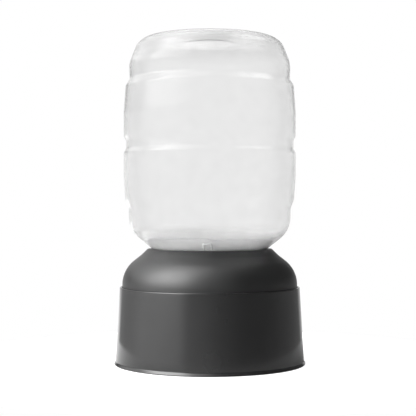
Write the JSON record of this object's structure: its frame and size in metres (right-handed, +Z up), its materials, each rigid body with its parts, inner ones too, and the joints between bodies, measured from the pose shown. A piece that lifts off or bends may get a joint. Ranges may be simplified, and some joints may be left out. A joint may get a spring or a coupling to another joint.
{
  "type": "poultry waterer fount",
  "caption": "Free-standing gravity waterer for poultry: a clear inverted jar with a valved cap drops into a domed cover on a round tank base with drinking nipples in its rear wall.",
  "frame": {"origin": "on the vertical axis, at the level of the surface the base stands on", "axes": "+Z up along the jar's axis, +Y to the rear where the drinking nipples are, +X to the right seen from the front"},
  "size_m": [0.1766, 0.1923, 0.3014],
  "materials": {
    "clear_jar": "clear blown plastic, glossy",
    "satin_anthracite": "fine satin moulding",
    "gloss_anthracite": "glossy moulding",
    "cap_plastic": "semi-gloss moulding",
    "gasket_foam": "soft foamed liner",
    "white_plastic": "natural acetal",
    "black_rubber": "smooth moulded rubber",
    "spring_steel": "drawn stainless wire",
    "pin_steel": "turned stainless, fine polish",
    "screw_steel": "stainless, pan head",
    "nipple_red": "semi-gloss moulding"
  },
  "bodies": {
    "base": {"tank": "gloss_anthracite", "floor_plate": "satin_anthracite", "floor_seal": "black_rubber", "floor_screws": "screw_steel", "left_nipple_body": "nipple_red", "left_nipple_seat": "black_rubber", "left_nipple_spring": "spring_steel", "left_nipple_strainer": "white_plastic", "left_nipple_washer": "black_rubber", "left_nipple_nut": "nipple_red", "middle_nipple_body": "nipple_red", "middle_nipple_seat": "black_rubber", "middle_nipple_spring": "spring_steel", "middle_nipple_strainer": "white_plastic", "middle_nipple_washer": "black_rubber", "middle_nipple_nut": "nipple_red", "right_nipple_body": "nipple_red", "right_nipple_seat": "black_rubber", "right_nipple_spring": "spring_steel", "right_nipple_strainer": "white_plastic", "right_nipple_washer": "black_rubber", "right_nipple_nut": "nipple_red"},
    "cover": {"cover": "satin_anthracite", "jar_seat_ring": "black_rubber"},
    "jar": {"jar": "clear_jar", "jar_cap": "cap_plastic", "cap_gasket": "gasket_foam", "valve_housing": "cap_plastic", "valve_spring": "spring_steel"},
    "valve": {"valve_stem": "white_plastic", "valve_seal": "black_rubber"},
    "left_pin": {"left_nipple_pin": "pin_steel"},
    "middle_pin": {"middle_nipple_pin": "pin_steel"},
    "right_pin": {"right_nipple_pin": "pin_steel"}
  },
  "joints": [
    {"name": "cover_lift", "type": "slide", "parent": "base", "child": "cover", "axis": [0, 0, 1], "range_m": [0, 0.05]},
    {"name": "jar_lift", "type": "slide", "parent": "cover", "child": "jar", "axis": [0, 0, 1], "range_m": [0, 0.06]},
    {"name": "valve_travel", "type": "slide", "parent": "jar", "child": "valve", "axis": [0, 0, 1], "range_m": [-0.004, 0], "deforming": ["valve_spring"]},
    {"name": "left_pin_press", "type": "slide", "parent": "base", "child": "left_pin", "axis": [0.7071, -0.7071, 0], "range_m": [0, 0.0025], "stiffness_N_per_m": 300, "springref_m": -0.001, "deforming": ["left_nipple_spring"]},
    {"name": "middle_pin_press", "type": "slide", "parent": "base", "child": "middle_pin", "axis": [0, -1, 0], "range_m": [0, 0.0025], "stiffness_N_per_m": 300, "springref_m": -0.001, "deforming": ["middle_nipple_spring"]},
    {"name": "right_pin_press", "type": "slide", "parent": "base", "child": "right_pin", "axis": [-0.7071, -0.7071, 0], "range_m": [0, 0.0025], "stiffness_N_per_m": 300, "springref_m": -0.001, "deforming": ["right_nipple_spring"]}
  ],
  "couplings": [
    {"joint": "valve_travel", "follows": "jar_lift", "ratio": -0.0666}
  ]
}
